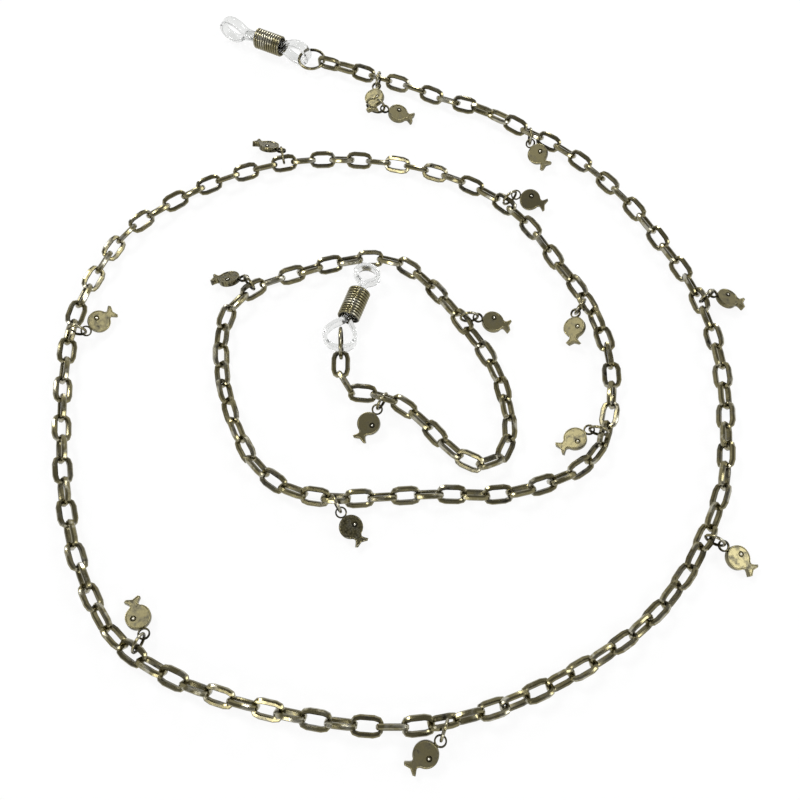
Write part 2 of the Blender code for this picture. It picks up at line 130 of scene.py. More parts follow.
# Temple eye: share of its length, share of its half width
TEMPLE_EYE = ((0.25, 0.72), (0.5, 1.0), (0.78, 0.85), (0.95, 0.45))
BAND_SETTLE = 0.1 * MM  # the strands lie side by side this far before the coil

# Middle of the layout, which sits over the origin
LAYOUT_CENTRE = Vector((2.977 * MM, 2.279 * MM, 0.0))

# The way the chain lies, from the outer end to the inner end, in millimetres
ROUTE = (
    (-15.1, 66.9), (-13.3, 66.4), (-4.3, 63.0), (4.0, 59.8), (11.9, 56.0), (18.3, 53.8),
    (26.6, 48.8), (34.5, 43.5), (41.8, 36.2), (47.3, 29.0), (52.2, 20.0), (56.2, 11.4),
    (58.6, 1.5), (59.2, -8.1), (58.2, -17.5), (56.3, -27.5), (52.3, -36.0), (47.0, -44.0),
    (40.0, -51.0), (31.5, -56.6), (22.5, -61.0), (13.3, -64.2), (3.0, -66.0), (-6.9, -65.6),
    (-16.5, -64.0), (-26.1, -61.6), (-35.0, -58.2), (-43.3, -52.7), (-49.0, -44.2),
    (-52.8, -35.5), (-55.6, -25.5), (-57.3, -15.6), (-58.4, -5.5), (-58.2, 4.8),
    (-55.6, 13.6), (-51.1, 23.0), (-46.0, 28.0), (-37.2, 34.0), (-27.0, 38.4),
    (-17.3, 40.6), (-8.0, 40.7), (2.7, 39.2), (12.0, 36.2), (20.4, 31.4), (26.8, 24.5),
    (31.6, 16.0), (36.2, 8.0), (39.2, -2.7), (38.9, -12.0), (35.8, -21.6), (31.9, -25.2),
    (24.7, -28.2), (18.2, -29.6), (8.0, -29.5), (-1.0, -30.0), (-9.0, -30.3),
    (-17.0, -28.8), (-23.2, -24.0), (-28.0, -14.5), (-30.5, -4.5), (-30.1, 5.4),
    (-25.3, 10.8), (-18.0, 13.8), (-10.0, 16.4), (-3.0, 17.3), (2.8, 15.6), (8.0, 10.5),
    (14.4, 1.5), (18.6, -6.0), (20.7, -16.0), (20.3, -20.8), (17.8, -23.9), (14.2, -24.2),
    (9.7, -20.8), (5.6, -16.2), (1.8, -13.0), (-2.0, -11.3), (-5.8, -11.4), (-8.6, -9.6),
    (-8.8, -6.0),
)
ROUTE_STEPS = 24

# Links in each chain run, outer end first
RUNS = (8, 9, 8, 8, 9, 7, 9, 10, 9, 8, 6, 8, 9, 9, 8, 10, 8, 8, 7, 7, 7, 6)

# Twist of the chain about its own length: (link, degrees), straight between
TWIST = (
    (1, 135), (3, 90), (9, 90), (12, 0), (40, 0), (51, -20), (54, 45), (57, 22), (65, 20),
    (68, -8), (112, 0), (118, 50), (124, 100), (140, 100), (150, 90), (175, 95), (178, 135),
)
TWIST_WANDER = 6.0
# Extra height of the chain near the inner end ring, in millimetres
LIFT = ((1, 0.0), (174, 0.0), (178, 0.95))

# Charms: link, side of the chain (1 left, -1 right, seen along the route), turn of the
# ring, turn of the fish on the ring, lean of the fish (degrees), rise of the tail (mm)
CHARMS = (
    (4, -1, 7, 6, 15, 1.15),
    (13, -1, 30, 30, 30, 0.9),
    (26, 1, 20, -50, 0, 0.3),
    (38, 1, 0, -10, 0, 0.1),
    (52, 1, -30, -30, 0, 0.2),
    (65, -1, 10, 50, 0, 0.23),
    (81, -1, 0, 50, 25, 0.7),
    (96, 1, 0, 50, 20, 0.6),
    (108, 1, -10, -58, 35, 1.0),
    (115, -1, 30, 30, 30, 0.8),
    (122, -1, 5, 46, 0, 0.28),
    (135, 1, 33, 6, 0, 0.1),
    (149, 1, 5, 45, 15, 0.5),
    (161, 1, -31, -14, 0, 0.1),
    (175, 1, -15, 0, 0, 0.1),
)
# A second fish hangs by its ring round the tail of the first one
TRAILING_RING_TURN = 82.0
TRAILING_RADIUS = 1.9 * MM
TRAILING_HANG = 0.55 * MM

# Detail of the links, rings, coils and loops
OUTER_SIDE = 0.78  # 1 is a link's outline; points past this are on its wire's outer side
INNER_FACET = 0.7  # facet along a link's inner edges, as a share of the outer one
WEAR_AND_SHADE_INSIDE = 0.5  # wear and painted light on the two sides of a link's wire: the inner side darker with painted shade, the outer side paler with wear and a painted highlight
WEAR_AND_HIGHLIGHT_OUTSIDE = 1.0
LINK_SMOOTH = 38.0  # sharpest edge that is shaded smooth, in degrees
WIRE_SMOOTH = 50.0
FISH_SMOOTH = 35.0
BAND_SMOOTH = 45.0
JUMP_SPLIT = 6.0  # half the cut in a ring, in degrees
END_SPLIT = 5.0
RING_STEPS = 36  # faces round a ring
COIL_STEPS = 28  # faces round one turn of a coil
WIRE_SIDES = 10
MOST_SIDES = 12  # corners of the largest hole filled at a wire's end
BAND_STEPS = 5  # faces between two points of a silicone loop
LEVEL_SLACK = 0.1 * MM  # the two ends of a level edge differ by less
HAIR = 0.01 * MM

# Detail of the fish
SCALED_FISH = (8, 12, 13)  # the fish that show their scales
EYE_BEAD = 0.55  # radius of the bead, as a share of the eye's
EYE_RING_OUT = 0.04 * MM  # from the eye's radius to the middle of the ring round it
EYE_RING_WIRE = 0.1 * MM  # radius of that ring's wire
LOOP_STRAND = 0.3  # radius and height of the nose loop's two strands, as shares of its wire

# Metals: roughness where clean, strength of the relief, scale of the pattern, how far the pale wear
# and painted highlight reach
METALS = {
    "chain_metal": (0.16, 0.3, 0.55, 1.0),
    "ring_metal": (0.2, 0.25, 1.0, 1.0),
    "end_ring_metal": (0.2, 0.25, 1.0, 1.0),
    "charm_metal": (0.34, 0.3, 1.0, 0.25),
    "charm_scaled_metal": (0.22, 0.8, 1.0, 0.7),
    "spring_metal": (0.2, 0.1, 0.3, 1.0),
}
MOTTLE_SCALE = 900.0
SCRATCH_SCALE = 2600.0
RELIEF_DEPTH = 0.02 * MM
TARNISH_ROUGHNESS = 0.22  # how much rougher the tarnished parts and the painted shade are

# Stage
GROUND_RADIUS = 0.9
GROUND_DROP = -0.12 * MM
GROUND_RISES = ((1.12, 0.05), (1.1, 0.18), (1.03, 0.5))  # growth and rise of each rim
CAMERA_X = -1.327 * MM
CAMERA_Y = -75.339 * MM
# Name, place, size, power and colour of each soft lamp
LAMPS = (
    ("key_lamp", (-0.3, 0.3, 0.5), 0.15, 1.9, (1.0, 1.0, 0.99)),
    ("fill_lamp", (0.45, -0.05, 0.42), 0.24, 1.4, (0.98, 0.99, 1.0)),
    ("rim_lamp", (0.1, 0.55, 0.3), 0.12, 1.2, (1.0, 1.0, 1.0)),
    ("front_lamp", (-0.2, -0.5, 0.35), 0.14, 0.8, (1.0, 0.99, 0.97)),
)


def between(stations, at):
    """Value at one link, on straight lines between the stations."""
    for (a, low), (b, high) in zip(stations, stations[1:]):
        if at <= b:
            return low + (high - low) * max(0.0, (at - a) / (b - a))
    return stations[-1][1]


def turned(vector, degrees, axis):
    return Matrix.Rotation(math.radians(degrees), 3, axis) @ vector


def spline_point(a, b, c, d, t):
    """Centripetal curve through four points, between the middle two."""
    ta = 0.0
    tb = ta + (b - a).length ** 0.5
    tc = tb + (c - b).length ** 0.5
    td = tc + (d - c).length ** 0.5
    at = tb + (tc - tb) * t
    ab = a * ((tb - at) / (tb - ta)) + b * ((at - ta) / (tb - ta))
    bc = b * ((tc - at) / (tc - tb)) + c * ((at - tb) / (tc - tb))
    cd = c * ((td - at) / (td - tc)) + d * ((at - tc) / (td - tc))
    abc = ab * ((tc - at) / (tc - ta)) + bc * ((at - ta) / (tc - ta))
    bcd = bc * ((td - at) / (td - tb)) + cd * ((at - tb) / (td - tb))
    return abc * ((tc - at) / (tc - tb)) + bcd * ((at - tb) / (tc - tb))


def route_line():
    """The route as a fine line of flat points."""
    points = [Vector((x, y, 0.0)) * MM for x, y in ROUTE]
    points = [2 * points[0] - points[1], *points, 2 * points[-1] - points[-2]]
    line = []
    for a, b, c, d in zip(points, points[1:], points[2:], points[3:]):
        line += [spline_point(a, b, c, d, i / ROUTE_STEPS) for i in range(ROUTE_STEPS)]
    line += [points[-2], points[-1]]
    return line


def link_roll(number):
    """Roll of one link about the chain, in degrees."""
    wander = TWIST_WANDER * math.sin(2.4 * (number - REST_LINK))
    if number in (1, sum(RUNS)):
        wander = 0.0
    return between(TWIST, number) + (-45.0 if number % 2 else 45.0) + wander


def rest_height(number):
    """Height of a link's middle when its lowest corner touches the ground."""
    roll = math.radians(link_roll(number))
    return LINK_WIDTH / 2 * abs(math.sin(roll)) + WIRE_DEEP / 2 * abs(math.cos(roll))


class Link:
    """Where one link lies: middle, direction along the chain, width and plane normal."""

    def __init__(self, number, start, end, reach):
        self.number = number
        self.along = (end - start).normalized()
        self.middle = start + self.along * reach
        self.left = UP.cross(self.along).normalized()
        up = self.along.cross(self.left)
        roll = math.radians(link_roll(number))
        self.width = self.left * math.cos(roll) + up * math.sin(roll)
        self.normal = self.along.cross(self.width)


def lay_links():
    """All the links, the joint points between them, and the number of each run's last link."""
    count = sum(RUNS)
    lasts = [sum(RUNS[: i + 1]) for i in range(len(RUNS))]
    line = route_line()
    fused = LINK_LENGTH / 2 - WIRE_FLAT + FUSE / 2
    free = LINK_LENGTH / 2 - WIRE_FLAT - PLAY / 2
    needs = [rest_height(n) for n in range(1, count + 1)]
    flats = [line[0]]
    index = 1
    for number in range(1, count + 1):
        before = free if number == 1 or number - 1 in lasts else fused
        after = free if number in lasts else fused
        reach = before + after
        while (line[index] - flats[-1]).length < reach:
            if index + 1 == len(line):
                line.append(2 * line[-1] - line[-2])
            index += 1
        near = (line[index - 1] - flats[-1]).length
        far = (line[index] - flats[-1]).length
        step = (reach - near) / (far - near)
        flats.append(line[index - 1].lerp(line[index], max(0.0, step)))
    joints = []
    for i, flat in enumerate(flats):
        near = range(max(1, i - 1), min(count, i + 2) + 1)
        if i in (REST_LINK - 1, REST_LINK):
            near = [REST_LINK]
        height = max(needs[n - 1] for n in near) + between(LIFT, i) * MM
        joints.append(flat + UP * height - LAYOUT_CENTRE)
    links = []
    for number in range(1, count + 1):
        before = free if number == 1 or number - 1 in lasts else fused
        links.append(Link(number, joints[number - 1], joints[number], before))
    return links, joints, lasts


def axes(x, z):
    """Rotation whose X and Z axes are these two directions."""
    x = x.normalized()
    y = z.cross(x).normalized()
    z = x.cross(y)
    return Matrix((x, y, z)).transposed()


def high_bar(link, side):
    """Middle of the side bar that stands higher, which must be on the asked side."""
    sign = 1.0 if link.width.z > 0 else -1.0
    if sign * link.width.dot(link.left) * side <= 0:
        raise ValueError(f"link {link.number}: its high bar is on the other side")
    return link.middle + link.width * (sign * (LINK_WIDTH - WIRE_FLAT) / 2)


def hang_charm(bar, out, radius, hang, fish_turn, lean, rise):
    """Ring centre and rotation, then the fish's hinge point, origin and rotation."""
    centre = bar + out * hang - UP * JUMP_DROP
    centre.z = max(centre.z, radius + JUMP_WIRE / 2 + JUMP_FLOOR_GAP)
    reach = radius + (FISH_NOSE + FISH_LENGTH) * math.cos(math.radians(fish_turn))
    slope = math.asin((centre.z - FISH_THICKNESS / 2 - rise * MM) / reach)
    down = out * math.cos(slope) - UP * math.sin(slope)
    tangent = out * math.sin(slope) + UP * math.cos(slope)
    pivot = centre + down * radius
    heading = turned(down, fish_turn, tangent)
    face = turned(tangent, lean, heading)
    return centre, axes(out, UP), pivot, pivot + heading * FISH_LOOP_SLACK, axes(heading, face)


def band_line(back, coil_start, bulge, travel, temple):
    """Middle line of a silicone loop: x from the ring's rim towards the temple."""
    strand = (BAND_GAP + BAND_THICK) / 2
    neck_end = coil_start + COIL_LENGTH + travel
    span = back + coil_start
    half = [(-back, 0.0)]
    for along, wide in BULB:
        half.append((-back + along * span, bulge * wide))
    along, wide = BULB_END
    half.append((-back + along * span, strand + (bulge - strand) * wide))
    half += [(coil_start - BAND_SETTLE, strand), (neck_end, strand)]
    for along, wide in TEMPLE_EYE:
        half.append((neck_end + temple * along, TEMPLE_HALF_WIDTH * wide))
    half.append((neck_end + temple, 0.0))
    return [Vector(p) for p in half] + [Vector((x, -y)) for x, y in reversed(half[1:-1])]


def place_charms(links):
    """Bar point, swing axis and hang_charm placement of every charm, the trailing one last."""
    placed = []
    for at, side, ring_turn, fish_turn, lean, rise in CHARMS:
        link = links[at - 1]
        out = turned(link.left * side, ring_turn, "Z")
        out.z = 0.0
        out.normalize()
        bar = high_bar(link, side)
        hang = hang_charm(bar, out, JUMP_RADIUS, JUMP_HANG, fish_turn, lean, rise)
        placed.append((bar, link.along, *hang))
    nose, pose = placed[0][5:]
    heading = pose.col[0]
    neck = nose + heading * (FISH_NOSE + 2 * FISH_BODY_RADIUS + FISH_NECK)
    out = turned(Vector((heading.x, heading.y, 0.0)).normalized(), TRAILING_RING_TURN, "Z")
    hang = hang_charm(neck, out, TRAILING_RADIUS, TRAILING_HANG, 0.0, 0.0, 0.1)
    placed.append((neck, heading, *hang))
    return placed


def place_end(name, links, joints):
    """Ring's hinge point, centre and rotation, then the loop's place on its rim and rotation."""
    outer = name == "outer"
    joint = joints[0] if outer else joints[-1]
    away = -links[0].along if outer else links[-1].along
    away = Vector((away.x, away.y, 0.0)).normalized()
    course = ENDS[name][0].normalized()
    if outer:
        # This ring lies flat, and its loop stands on edge
        height = TEMPLE_HALF_WIDTH + BAND_THICK / 2 + LOOP_FLOOR_GAP
        centre = joint + away * (END_RADIUS - END_WIRE / 2 - PLAY / 2)
        rim = centre + away * END_RADIUS
        ring = axes(away, away.cross(UP))
        frame = axes(course, UP.cross(course))
    else:
        # This ring stands upright on the ground, and its loop lies level
        height = COIL_OUTER / 2
        sink = END_RADIUS + END_WIRE / 2 - joint.z
        near = math.sqrt(END_RADIUS**2 - sink**2)
        centre = joint + away * (near - END_WIRE / 2 * END_RADIUS / near - PLAY / 2)
        centre.z = END_RADIUS + END_WIRE / 2
        rim = centre + away * math.sqrt(END_RADIUS**2 - (centre.z - height) ** 2)
        ring = axes(away, UP)
        frame = axes(course, UP)
    return joint, centre, ring, Vector((rim.x, rim.y, height)), frame


def clear_selection():
    """Leaves edit mode with nothing selected."""
    if bpy.context.mode != "OBJECT":
        bpy.ops.object.mode_set(mode="OBJECT")
    bpy.ops.object.select_all(action="DESELECT")


def choose(*objs):
    """Selects these objects only, the first one active."""
    clear_selection()
    for obj in objs:
        obj.select_set(True)
    bpy.context.view_layer.objects.active = objs[0]


def select_faces(wanted):
    """In edit mode, selects the active object's faces that pass the test."""
    bpy.ops.mesh.select_mode(type="FACE")
    bpy.ops.mesh.select_all(action="DESELECT")
    bpy.ops.object.mode_set(mode="OBJECT")
    for polygon in bpy.context.object.data.polygons:
        polygon.select = wanted(polygon)
    bpy.ops.object.mode_set(mode="EDIT")


def select_edges(wanted):
    """In edit mode, selects the active object's edges whose two ends pass the test."""
    bpy.ops.mesh.select_mode(type="EDGE")
    bpy.ops.mesh.select_all(action="DESELECT")
    bpy.ops.object.mode_set(mode="OBJECT")
    mesh = bpy.context.object.data
    for edge in mesh.edges:
        edge.select = wanted(*(mesh.vertices[v].co for v in edge.vertices))
    bpy.ops.object.mode_set(mode="EDIT")


def apply_modifiers(obj):
    choose(obj)
    for modifier in list(obj.modifiers):
        bpy.ops.object.modifier_apply(modifier=modifier.name)


def outward(obj):
    """Merges doubles and points every face out."""
    choose(obj)
    bpy.ops.object.mode_set(mode="EDIT")
    bpy.ops.mesh.select_all(action="SELECT")
    bpy.ops.mesh.remove_doubles(threshold=0.00002 * MM)
    bpy.ops.mesh.normals_make_consistent(inside=False)
    bpy.ops.object.mode_set(mode="OBJECT")


def smooth(obj, degrees):
    choose(obj)
    bpy.ops.object.shade_smooth_by_angle(angle=math.radians(degrees))


def flat_shape(name, corners):
    """A filled flat shape with these corners, in the XY plane."""
    clear_selection()
    bpy.ops.mesh.primitive_circle_add(vertices=len(corners), radius=MM, fill_type="NGON")
    obj = bpy.context.object
    obj.name = name
    for vertex, corner in zip(obj.data.vertices, corners):
        vertex.co = (corner.x, corner.y, 0.0)
    return obj


def set_wear_and_shading(obj, value_at):
    """Stores how bright each point is, 0 in a recess with painted shade to 1 on an edge with wear
    and a painted highlight.
    """
    layer = obj.data.attributes.new("wear_and_shading", "FLOAT", "POINT")
    for vertex in obj.data.vertices:
        layer.data[vertex.index].value = value_at(vertex.co)


def set_face_map(obj):
    """Gives a piece a map of its own, in millimetres along and across it."""
    mesh = obj.data
    layer = mesh.uv_layers[0] if mesh.uv_layers else mesh.uv_layers.new(name="along")
    layer.name = "along"
    for loop in mesh.loops:
        point = mesh.vertices[loop.vertex_index].co / MM
        layer.data[loop.index].uv = (point.x, point.y)


def placed_copy(model, name, rotation, place):
    """A copy with its own mesh, which holds its place; the object stays at the origin."""
    copy = model.copy()
    copy.data = model.data.copy()
    copy.name = name
    copy.data.name = name
    copy.data.transform(Matrix.Translation(place) @ rotation.to_4x4())
    bpy.context.scene.collection.objects.link(copy)
    return copy


def discard(obj):
    bpy.data.objects.remove(obj)


def seat(obj, name, node, slot, *finishes):
    """Names a finished piece and puts it on the frame in place of a solid."""
    obj.name = name
    obj.data.name = name
    for finish in finishes:
        obj.data.materials.append(finish)
    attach(obj, node)
    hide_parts(node)


def model_link(sizes):
    """One rounded link of flattened wire, in its own XY plane."""
    corners = []
    for i in range(sizes.link_corners):
        turn = math.tau * (i + 0.5) / sizes.link_corners
        along = math.copysign(abs(math.cos(turn)) ** sizes.link_squareness, math.cos(turn))
        across = math.copysign(abs(math.sin(turn)) ** sizes.link_squareness, math.sin(turn))
        corners.append(Vector((along * sizes.link_length / 2, across * sizes.link_width / 2)))
    stretch = sizes.link_length / 2 / max(corner.x for corner in corners)
    widen = sizes.link_width / 2 / max(corner.y for corner in corners)
    link = flat_shape("link_model", [Vector((c.x * stretch, c.y * widen)) for c in corners])
    choose(link)
    bpy.ops.object.mode_set(mode="EDIT")
    bpy.ops.mesh.select_all(action="SELECT")
    bpy.ops.mesh.inset(thickness=sizes.wire_flat, depth=0.0)
    bar = (sizes.link_width / 2 - sizes.link_bar) / (sizes.link_width / 2 - sizes.wire_flat)
    bpy.ops.transform.resize(value=(1.0, bar, 1.0))
    bpy.ops.mesh.delete(type="FACE")
    bpy.ops.mesh.select_all(action="SELECT")
    thickness = {"value": (0.0, 0.0, sizes.wire_deep)}
    bpy.ops.mesh.extrude_region_move(TRANSFORM_OT_translate=thickness)
    bpy.ops.mesh.select_all(action="SELECT")
    bpy.ops.transform.translate(value=(0.0, 0.0, -sizes.wire_deep / 2))
    for facet, side in ((INNER_FACET, False), (1.0, True)):
        select_edges(
            lambda a, b: abs(a.z - b.z) < LEVEL_SLACK
            and outer(a, sizes) == side
            and outer(b, sizes) == side
        )
        bpy.ops.mesh.bevel(offset=sizes.link_edge * facet, segments=1, affect="EDGES")
    outward(link)
    smooth(link, LINK_SMOOTH)
    # Inner side of the wire darker with painted shade, outer side paler with wear and a painted
    # highlight
    set_wear_and_shading(link, lambda co: WEAR_AND_HIGHLIGHT_OUTSIDE if outer(co, sizes) else WEAR_AND_SHADE_INSIDE)
    return link


def outer(point, sizes):
    """Whether a point of a link lies on the outer side of its wire."""
    along = abs(point.x) / (sizes.link_length / 2)
    across = abs(point.y) / (sizes.link_width / 2)
    power = 2.0 / sizes.link_squareness
    return along**power + across**power >= OUTER_SIDE


def part_way(share):
    """A share held between 0 and 1."""
    return min(1.0, max(0.0, share))


def model_ring(radius, wire, split):
    """A round wire ring about the Y axis, cut once, with its two ends closed."""
    clear_selection()
    bpy.ops.mesh.primitive_torus_add(
        major_radius=radius, minor_radius=wire / 2, rotation=(math.radians(90.0), 0.0, 0.0),
        major_segments=RING_STEPS, minor_segments=WIRE_SIDES,
    )
    ring = bpy.context.object
    bpy.ops.object.transform_apply(location=True, rotation=True, scale=True)
    bpy.ops.object.mode_set(mode="EDIT")

    def in_split(polygon):
        return abs(math.degrees(math.atan2(polygon.center.z, -polygon.center.x))) < split

    select_faces(in_split)
    bpy.ops.mesh.delete(type="FACE")
    bpy.ops.mesh.select_all(action="SELECT")
    bpy.ops.mesh.fill_holes(sides=MOST_SIDES)
    bpy.ops.object.mode_set(mode="OBJECT")
    outward(ring)
    smooth(ring, WIRE_SMOOTH)
    # Outside of the ring paler with wear and a painted highlight, inside darker with painted shade
    set_wear_and_shading(ring, lambda co: max(0.1, part_way(0.5 + (math.hypot(co.x, co.z) - radius) / wire)))
    return ring


def fish_corners():
    """Edge of the fish from above: x from the loop's centre towards the tail."""
    middle = FISH_NOSE + FISH_BODY_RADIUS
    tip = FISH_NOSE + FISH_LENGTH
    neck = middle + FISH_BODY_RADIUS + FISH_NECK
    upper = [Vector((FISH_NOSE, FISH_NOSE_HALF_WIDTH))]
    for degrees in range(165, 20, -10):
        turn = math.radians(degrees)
        way = Vector((math.cos(turn), math.sin(turn)))
        upper.append(Vector((middle, 0.0)) + way * FISH_BODY_RADIUS)
    upper.append(Vector((neck - 0.25 * MM, FISH_NECK_HALF_WIDTH + 0.2 * MM)))
    upper.append(Vector((neck, FISH_NECK_HALF_WIDTH + 0.12 * MM)))
    upper.append(Vector((neck + 0.3 * MM, FISH_NECK_HALF_WIDTH + 0.3 * MM)))
    upper.append(Vector((tip - FISH_TAIL_SLANT, FISH_TAIL_SPREAD / 2)))
    upper.append(Vector((tip, FISH_TAIL_SPREAD / 2 - FISH_TAIL_BLUNT)))
    lower = [Vector((p.x, -p.y)) for p in reversed(upper)]
    return upper + [Vector((tip - FISH_TAIL_NOTCH * 0.6, 0.0))] + lower


def model_fish(sizes):
    """Round fish with a raised rim, V tail, eyes and a double nose loop."""
    fish = flat_shape("fish_model", fish_corners())
    choose(fish)
    bpy.ops.object.mode_set(mode="EDIT")
    bpy.ops.mesh.select_all(action="SELECT")
    thickness = sizes.fish_thickness
    bpy.ops.mesh.extrude_region_move(TRANSFORM_OT_translate={"value": (0.0, 0.0, thickness)})
    bpy.ops.mesh.select_all(action="SELECT")
    bpy.ops.transform.translate(value=(0.0, 0.0, -thickness / 2))
    bpy.ops.mesh.normals_make_consistent(inside=False)
    for way in (1, -1):
        select_faces(lambda polygon: polygon.normal.z * way > 0.9)
        bpy.ops.mesh.inset(thickness=sizes.fish_edge, depth=0.0)
        bpy.ops.mesh.inset(thickness=sizes.fish_edge * 0.5, depth=-sizes.fish_sink)
    half = thickness / 2
    select_edges(lambda a, b: abs(abs(a.z) - half) < HAIR and abs(a.z - b.z) < HAIR)
    bpy.ops.mesh.bevel(offset=sizes.fish_edge * 0.3, segments=2, affect="EDGES")
    bpy.ops.object.mode_set(mode="OBJECT")
    parts = [fish]
    for way in (1, -1):
        spot = (FISH_NOSE + FISH_BODY_RADIUS, EYE_OFFSET, way * (half - sizes.fish_sink))
        clear_selection()
        bpy.ops.mesh.primitive_torus_add(
            location=spot, major_radius=EYE_RADIUS + EYE_RING_OUT, minor_radius=EYE_RING_WIRE,
            major_segments=18, minor_segments=6,
        )
        parts.append(bpy.context.object)
        clear_selection()
        bpy.ops.mesh.primitive_uv_sphere_add(
            location=spot, radius=EYE_RADIUS * EYE_BEAD, segments=12, ring_count=8
        )
        bpy.ops.transform.resize(value=(1.0, 1.0, 0.8))
        parts.append(bpy.context.object)
    for lift in (-1, 1):
        clear_selection()
        bpy.ops.mesh.primitive_torus_add(
            location=(0.0, 0.0, lift * FISH_LOOP_WIRE * LOOP_STRAND),
            major_radius=FISH_LOOP_RADIUS, minor_radius=FISH_LOOP_WIRE * LOOP_STRAND,
            major_segments=28, minor_segments=7,
        )
        parts.append(bpy.context.object)
    for part in parts[1:]:
        choose(part)
        bpy.ops.object.transform_apply(location=True, rotation=True, scale=True)
    choose(*parts)
    bpy.ops.object.join()
    fish = bpy.context.object
    smooth(fish, FISH_SMOOTH)
    set_face_map(fish)

    def from_eye(point):
        return math.hypot(point.x - FISH_NOSE - FISH_BODY_RADIUS, point.y - EYE_OFFSET)

    def fish_wear_and_shading(co):
        # A dark ring round the eye: painted shade in its hollow
        if EYE_RADIUS * 0.6 < from_eye(co) < EYE_RADIUS * 1.6:
            return 0.0
        # Points near the two faces are pale; points nearer the middle of the thickness are dark
        # with painted shade
        raised = abs(co.z) > half - 0.4 * sizes.fish_sink
        return 0.85 if raised else 0.72 if abs(co.z) > half * 0.5 else 0.0

    set_wear_and_shading(fish, fish_wear_and_shading)
    # Faces of the eye ball take the second finish, whose near-white colour is a painted highlight
    for polygon in fish.data.polygons:
        above_face = abs(polygon.center.z) > half - sizes.fish_sink + HAIR
        if above_face and from_eye(polygon.center) < EYE_RADIUS * 0.56:
            polygon.material_index = 1
    return fish


def model_coil(sizes):
    """Close-wound coil along Z from the origin, its two wire ends closed."""
    wire = sizes.coil_wire
    radius = (COIL_OUTER - wire) / 2
    clear_selection()
    bpy.ops.mesh.primitive_circle_add(
        vertices=WIRE_SIDES, radius=wire / 2, rotation=(math.radians(90.0), 0.0, 0.0),
        location=(radius, 0.0, wire / 2),
    )
    coil = bpy.context.object
    bpy.ops.object.transform_apply(location=True, rotation=True, scale=True)
    screw = coil.modifiers.new("wind", "SCREW")
    screw.axis = "Z"
    screw.angle = math.tau
    screw.iterations = sizes.coil_turns
    screw.screw_offset = (COIL_LENGTH - wire) / sizes.coil_turns
    screw.steps = COIL_STEPS
    screw.render_steps = COIL_STEPS
    screw.use_merge_vertices = False
    apply_modifiers(coil)
    bpy.ops.object.mode_set(mode="EDIT")
    bpy.ops.mesh.select_all(action="SELECT")
    bpy.ops.mesh.fill_holes(sides=MOST_SIDES)
    bpy.ops.object.mode_set(mode="OBJECT")
    outward(coil)
    smooth(coil, WIRE_SMOOTH)
    # Outside of the turns paler with wear and a painted highlight, the gaps between turns darker
    # with painted shade
    set_wear_and_shading(coil, lambda co: part_way(0.3 + (math.hypot(co.x, co.y) - radius) / wire * 1.6))
    return coil


def closed_curve(points, steps):
    """A smooth closed line through the points."""
    line = []
    count = len(points)
    for i in range(count):
        a, b, c, d = (points[(i + k) % count] for k in (-1, 0, 1, 2))
        line += [spline_point(a, b, c, d, step / steps) for step in range(steps)]
    return line


def model_band(name, shape, sizes):
    """Clear flat band bent into a loop, in its own XY plane, its width along Z."""
    line = closed_curve(band_line(*(size * MM for size in shape)), BAND_STEPS)
    clear_selection()
    bpy.ops.mesh.primitive_circle_add(vertices=len(line), radius=MM, fill_type="NOTHING")
    band = bpy.context.object
    band.name = name
    for vertex, spot in zip(band.data.vertices, line):
        vertex.co = (spot.x, spot.y, -BAND_TALL / 2)
    bpy.ops.object.mode_set(mode="EDIT")
    bpy.ops.mesh.select_mode(type="EDGE")
    bpy.ops.mesh.select_all(action="SELECT")
    bpy.ops.mesh.extrude_edges_move(TRANSFORM_OT_translate={"value": (0.0, 0.0, BAND_TALL)})
    bpy.ops.object.mode_set(mode="OBJECT")
    outward(band)
    wall = band.modifiers.new("wall", "SOLIDIFY")
    wall.thickness = BAND_THICK
    wall.offset = 0.0
    wall.use_even_offset = True
    edge = band.modifiers.new("edge", "BEVEL")
    edge.width = sizes.band_edge
    edge.segments = 3
    edge.limit_method = "ANGLE"
    edge.angle_limit = math.radians(60.0)
    apply_modifiers(band)
    smooth(band, BAND_SMOOTH)
    return band


def add_node(tree, kind, label="", **settings):
    node = tree.nodes.new(kind)
    node.label = label
    for key, value in settings.items():
        setattr(node, key, value)
    return node


def feed(tree, node, values):
    """Gives inputs of a node their values; a value may be another node's socket."""
    for key, value in values.items():
        if isinstance(value, bpy.types.NodeSocket):
            tree.links.new(value, node.inputs[key])
        else:
            node.inputs[key].default_value = value


def add_math(tree, label, operation, *values, clamp=False):
    node = add_node(tree, "ShaderNodeMath", label, operation=operation, use_clamp=clamp)
    feed(tree, node, dict(enumerate(values)))
    return node.outputs[0]


def add_range(tree, label, value, **ends):
    """The value taken from one range to another; an end that isn't given is 0 or 1."""
    node = add_node(tree, "ShaderNodeMapRange", label)
    named = {key.replace("_", " ").title(): end for key, end in ends.items()}
    feed(tree, node, {"Value": value, **named})
    return node.outputs["Result"]


def add_noise(tree, label, vector, scale, **settings):
    node = add_node(tree, "ShaderNodeTexNoise", label)
    feed(tree, node, {"Vector": vector, "Scale": scale, **settings})
    return node.outputs["Fac"]


def add_relief(tree, height, strength, depth):
    node = add_node(tree, "ShaderNodeBump", "relief")
    feed(tree, node, {"Strength": strength, "Distance": depth, "Height": height})
    return node.outputs["Normal"]


def mix_colour(tree, label, factor, first, second):
    """A colour mix; a colour may be a socket or a plain value."""
    node = add_node(tree, "ShaderNodeMix", label, data_type="RGBA")
    colours = (c if isinstance(c, bpy.types.NodeSocket) else (*c, 1.0) for c in (first, second))
    feed(tree, node, dict(zip((0, 6, 7), (factor, *colours))))
    return node.outputs[2]


